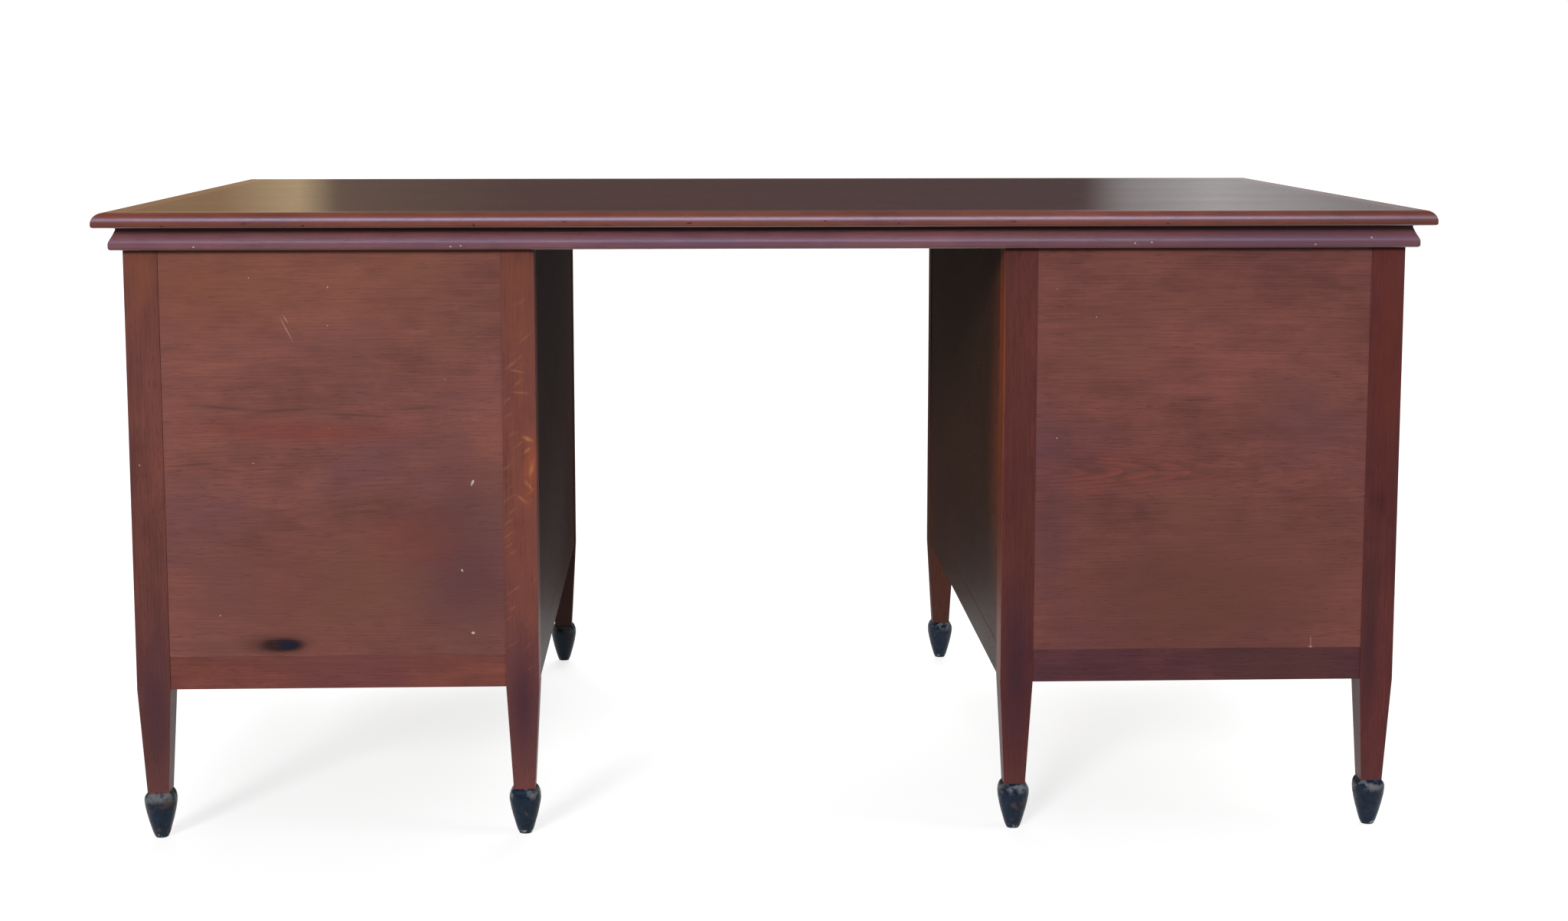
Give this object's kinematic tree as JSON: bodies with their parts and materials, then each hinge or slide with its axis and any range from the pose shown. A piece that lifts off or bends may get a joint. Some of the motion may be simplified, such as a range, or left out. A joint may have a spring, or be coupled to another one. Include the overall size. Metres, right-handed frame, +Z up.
{
  "type": "pedestal desk",
  "caption": "Deep twin-pedestal wooden desk with a plain panelled back, open kneehole, moulded top, tapered legs on dark spade feet and drawers on the far side.",
  "frame": {"origin": "on the floor, under the middle of the desk top", "axes": "+X along the width, to the right as seen in the picture; +Y from the plain pictured side to the drawer side; +Z up"},
  "size_m": [1.59, 1, 0.765],
  "materials": {
    "polished_top": "polished",
    "stained_oak": "satin",
    "panel_oak": "satin",
    "pale_oak": "raw",
    "ebonised_wood": "satin",
    "screw_steel": "dull"
  },
  "bodies": {
    "desk_body": {"drawer_stops": "pale_oak", "frame_bearer_left": "pale_oak", "frame_bearer_right": "pale_oak", "frame_rail_back": "stained_oak", "frame_rail_front": "panel_oak", "frame_rail_left": "stained_oak", "frame_rail_right": "stained_oak", "left_back_bottom_rail": "stained_oak", "left_back_panel": "panel_oak", "left_bottom_board": "pale_oak", "left_drawer_rails": "stained_oak", "left_drawer_runners": "pale_oak", "left_inner_bottom_rail": "stained_oak", "left_inner_panel": "panel_oak", "left_leg_back_inner": "stained_oak", "left_leg_back_outer": "stained_oak", "left_leg_front_inner": "stained_oak", "left_leg_front_outer": "stained_oak", "left_outer_bottom_rail": "stained_oak", "left_outer_panel": "panel_oak", "right_back_bottom_rail": "stained_oak", "right_back_panel": "panel_oak", "right_bottom_board": "pale_oak", "right_drawer_rails": "stained_oak", "right_drawer_runners": "pale_oak", "right_inner_bottom_rail": "stained_oak", "right_inner_panel": "panel_oak", "right_leg_back_inner": "stained_oak", "right_leg_back_outer": "stained_oak", "right_leg_front_inner": "stained_oak", "right_leg_front_outer": "stained_oak", "right_outer_bottom_rail": "stained_oak", "right_outer_panel": "panel_oak", "spade_feet": "ebonised_wood", "top_cleats": "pale_oak", "top_lipping_back": "polished_top", "top_lipping_front": "polished_top", "top_lipping_left": "polished_top", "top_lipping_right": "polished_top", "top_panel": "polished_top", "wood_screws": "screw_steel"},
    "left_top_drawer": {"left_top_drawer_front": "panel_oak", "left_top_drawer_box": "pale_oak", "left_top_drawer_knob": "ebonised_wood"},
    "left_middle_drawer": {"left_middle_drawer_front": "panel_oak", "left_middle_drawer_box": "pale_oak", "left_middle_drawer_knob": "ebonised_wood"},
    "left_bottom_drawer": {"left_bottom_drawer_front": "panel_oak", "left_bottom_drawer_box": "pale_oak", "left_bottom_drawer_knob": "ebonised_wood"},
    "right_top_drawer": {"right_top_drawer_front": "panel_oak", "right_top_drawer_box": "pale_oak", "right_top_drawer_knob": "ebonised_wood"},
    "right_middle_drawer": {"right_middle_drawer_front": "panel_oak", "right_middle_drawer_box": "pale_oak", "right_middle_drawer_knob": "ebonised_wood"},
    "right_bottom_drawer": {"right_bottom_drawer_front": "panel_oak", "right_bottom_drawer_box": "pale_oak", "right_bottom_drawer_knob": "ebonised_wood"}
  },
  "joints": [
    {"name": "left_top_drawer_slide", "type": "slide", "parent": "desk_body", "child": "left_top_drawer", "axis": [0, 1, 0], "range_m": [0, 0.46]},
    {"name": "left_middle_drawer_slide", "type": "slide", "parent": "desk_body", "child": "left_middle_drawer", "axis": [0, 1, 0], "range_m": [0, 0.46]},
    {"name": "left_bottom_drawer_slide", "type": "slide", "parent": "desk_body", "child": "left_bottom_drawer", "axis": [0, 1, 0], "range_m": [0, 0.46]},
    {"name": "right_top_drawer_slide", "type": "slide", "parent": "desk_body", "child": "right_top_drawer", "axis": [0, 1, 0], "range_m": [0, 0.46]},
    {"name": "right_middle_drawer_slide", "type": "slide", "parent": "desk_body", "child": "right_middle_drawer", "axis": [0, 1, 0], "range_m": [0, 0.46]},
    {"name": "right_bottom_drawer_slide", "type": "slide", "parent": "desk_body", "child": "right_bottom_drawer", "axis": [0, 1, 0], "range_m": [0, 0.46]}
  ]
}
